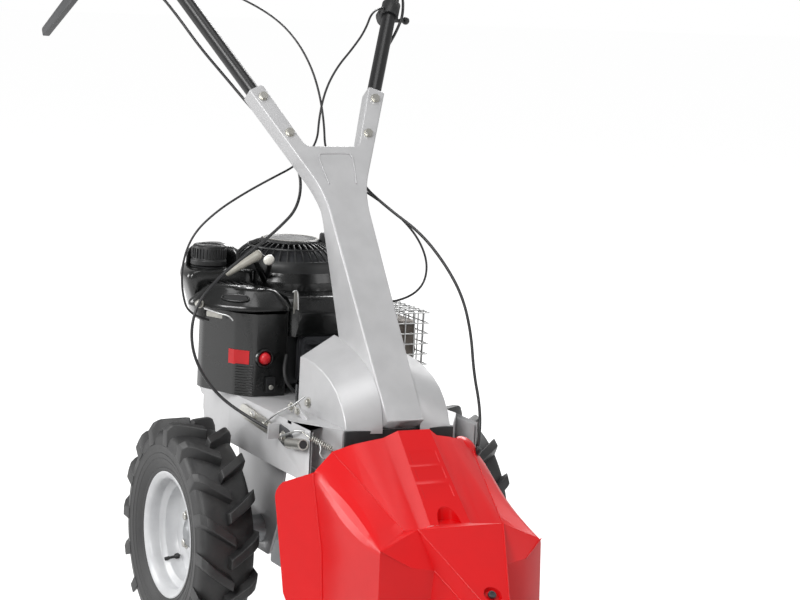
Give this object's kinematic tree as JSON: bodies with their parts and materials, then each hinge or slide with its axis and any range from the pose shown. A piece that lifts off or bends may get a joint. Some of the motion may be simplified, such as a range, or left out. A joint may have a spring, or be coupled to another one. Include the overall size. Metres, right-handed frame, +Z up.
{
  "type": "brush mower",
  "caption": "Two-wheel walk-behind brush mower: Y-shaped handle column, vertical-shaft engine on a sheet deck, faceted red hood and a double-knife cutter bar on skids.",
  "frame": {"origin": "on the ground under the middle of the machine's whole length and width", "axes": "+Z up, -Y forward (cutter bar), +X the walking operator's left"},
  "size_m": [0.87, 1.5646, 1.3168],
  "materials": {
    "tyre": "moulded agricultural tyre",
    "wheel_paint": "light grey enamel",
    "frame_paint": "silver-grey powder coat",
    "handle_paint": "dark grey powder coat",
    "hood_red": "glossy moulded plastic",
    "black_plastic": "fine moulded grain",
    "lid_plastic": "semi-gloss moulding",
    "grip_rubber": "ribbed soft rubber",
    "starter_plastic": "smooth moulding",
    "primer_rubber": "smooth soft rubber",
    "cast_alloy": "as cast",
    "muffler_steel": "heat-dulled sheet",
    "steel": "turned and ground",
    "zinc": "zinc plated",
    "knife_steel": "hardened and ground",
    "bar_paint": "dark enamel",
    "belt_rubber": "fabric-backed rubber",
    "cable_sheath": "smooth sheath",
    "ceramic_plug": "glazed insulator with steel shell"
  },
  "bodies": {
    "chassis": {"belt_cover": "frame_paint", "blower_housing": "black_plastic", "brake_cable": "cable_sheath", "chassis_frame": "frame_paint", "cutter_beam": "bar_paint", "cutter_cable": "cable_sheath", "cutter_gearbox": "cast_alloy", "cylinder_head": "cast_alloy", "drive_belt": "belt_rubber", "drive_cable": "cable_sheath", "engine_block": "cast_alloy", "filter_housing": "black_plastic", "filter_lid": "lid_plastic", "fixing_bolts": "zinc", "fuel_tank": "black_plastic", "gearbox_housing": "cast_alloy", "grip_left": "grip_rubber", "grip_right": "grip_rubber", "handle_column": "frame_paint", "handle_tube_left": "handle_paint", "handle_tube_right": "handle_paint", "hood": "hood_red", "knife_guides": "bar_paint", "lever_mount_left": "black_plastic", "lever_mount_right": "black_plastic", "muffler": "muffler_steel", "muffler_guard": "handle_paint", "skid_left": "handle_paint", "skid_right": "handle_paint", "spark_plug": "ceramic_plug", "starter_grille": "black_plastic", "throttle_cable": "cable_sheath", "throttle_mount": "black_plastic"},
    "wheel_right": {"tyre_right": "tyre", "rim_right": "wheel_paint", "hub_right": "steel", "wheel_bolts_right": "zinc"},
    "wheel_left": {"tyre_left": "tyre", "rim_left": "wheel_paint", "hub_left": "steel", "wheel_bolts_left": "zinc"},
    "crank": {"crankshaft": "steel", "flywheel": "cast_alloy"},
    "input_shaft": {"input_pulley": "steel"},
    "drive_shaft": {"pto_shaft": "steel"},
    "upper_knife": {"knife_upper": "knife_steel"},
    "lower_knife": {"knife_lower": "knife_steel"},
    "upper_rocker": {"rocker_upper": "steel"},
    "lower_rocker": {"rocker_lower": "steel"},
    "lever_right": {"clutch_lever_right": "handle_paint"},
    "lever_left": {"clutch_lever_left": "handle_paint"},
    "clutch_link": {"clutch_arm": "steel"},
    "tension_arm": {"idler_arm": "steel"},
    "tension_roller": {"idler_wheel": "steel"},
    "throttle": {"throttle_lever": "black_plastic"},
    "cap": {"fuel_cap": "black_plastic"},
    "primer": {"primer_bulb": "primer_rubber"},
    "recoil_grip": {"starter_grip": "starter_plastic"}
  },
  "joints": [
    {"name": "wheel_right_spin", "type": "hinge", "parent": "chassis", "child": "wheel_right", "pos_m": [-0.2525, -0.0474, 0.2075], "axis": [1, 0, 0], "continuous": true},
    {"name": "wheel_left_spin", "type": "hinge", "parent": "chassis", "child": "wheel_left", "pos_m": [0.2525, -0.0474, 0.2075], "axis": [1, 0, 0], "continuous": true},
    {"name": "crank_spin", "type": "hinge", "parent": "chassis", "child": "crank", "pos_m": [0, 0.1276, 0.405], "axis": [0, 0, 1], "continuous": true},
    {"name": "input_spin", "type": "hinge", "parent": "chassis", "child": "input_shaft", "pos_m": [0, -0.2374, 0.405], "axis": [0, 0, 1], "continuous": true},
    {"name": "drive_shaft_spin", "type": "hinge", "parent": "chassis", "child": "drive_shaft", "pos_m": [0, -0.3474, 0.2], "axis": [0, 1, 0], "continuous": true},
    {"name": "upper_knife_stroke", "type": "slide", "parent": "chassis", "child": "upper_knife", "axis": [1, 0, 0], "range_m": [-0.038, 0.038]},
    {"name": "lower_knife_stroke", "type": "slide", "parent": "chassis", "child": "lower_knife", "axis": [1, 0, 0], "range_m": [-0.038, 0.038]},
    {"name": "upper_rocker_swing", "type": "hinge", "parent": "chassis", "child": "upper_rocker", "pos_m": [-0.06, -0.5474, 0.085], "axis": [0, 0, 1], "range_deg": [-16, 16]},
    {"name": "lower_rocker_swing", "type": "hinge", "parent": "chassis", "child": "lower_rocker", "pos_m": [0.06, -0.5474, 0.085], "axis": [0, 0, 1], "range_deg": [-20, 20]},
    {"name": "drive_lever_pull", "type": "hinge", "parent": "chassis", "child": "lever_right", "pos_m": [-0.28303, 0.48626, 1.17768], "axis": [1, 0, 0], "range_deg": [0, 22], "stiffness_Nm_per_rad": 3, "springref_deg": -14.32},
    {"name": "cutter_lever_pull", "type": "hinge", "parent": "chassis", "child": "lever_left", "pos_m": [0.28303, 0.48626, 1.23868], "axis": [1, 0, 0], "range_deg": [-20, 0], "stiffness_Nm_per_rad": 3, "springref_deg": 28.65},
    {"name": "clutch_link_swing", "type": "hinge", "parent": "chassis", "child": "clutch_link", "pos_m": [-0.164, -0.1114, 0.432], "axis": [1, 0, 0], "range_deg": [0, 20]},
    {"name": "tension_arm_swing", "type": "hinge", "parent": "chassis", "child": "tension_arm", "pos_m": [0.078, 0.0006, 0.42], "axis": [0, 0, 1], "range_deg": [-6, 0]},
    {"name": "tension_roller_spin", "type": "hinge", "parent": "tension_arm", "child": "tension_roller", "pos_m": [0.08059, -0.0694, 0.405], "axis": [0, 0, 1], "continuous": true},
    {"name": "throttle_swing", "type": "hinge", "parent": "chassis", "child": "throttle", "pos_m": [0.20551, 0.16986, 1.13838], "axis": [0, 0.788, -0.6157], "range_deg": [-30, 35]},
    {"name": "fuel_cap_turn", "type": "hinge", "parent": "chassis", "child": "cap", "pos_m": [-0.17, 0.1106, 0.68], "axis": [0, 0, 1], "range_deg": [0, 90]},
    {"name": "primer_press", "type": "slide", "parent": "chassis", "child": "primer", "axis": [0, 1, 0], "range_m": [0, 0.005], "stiffness_N_per_m": 600},
    {"name": "starter_pull", "type": "slide", "parent": "chassis", "child": "recoil_grip", "axis": [-0.5511, -0.4986, 0.6691], "range_m": [0, 0.45], "stiffness_N_per_m": 20, "springref_m": -0.1}
  ],
  "couplings": [
    {"joint": "input_spin", "follows": "crank_spin", "ratio": 0.45946},
    {"joint": "drive_shaft_spin", "follows": "crank_spin", "ratio": 0.45946},
    {"joint": "lower_knife_stroke", "follows": "upper_knife_stroke", "ratio": -1},
    {"joint": "upper_rocker_swing", "follows": "upper_knife_stroke", "rad_per_m": 6.4935},
    {"joint": "lower_rocker_swing", "follows": "upper_knife_stroke", "rad_per_m": -8.4746},
    {"joint": "clutch_link_swing", "follows": "drive_lever_pull", "ratio": 0.9},
    {"joint": "tension_arm_swing", "follows": "drive_lever_pull", "ratio": -0.23}
  ]
}
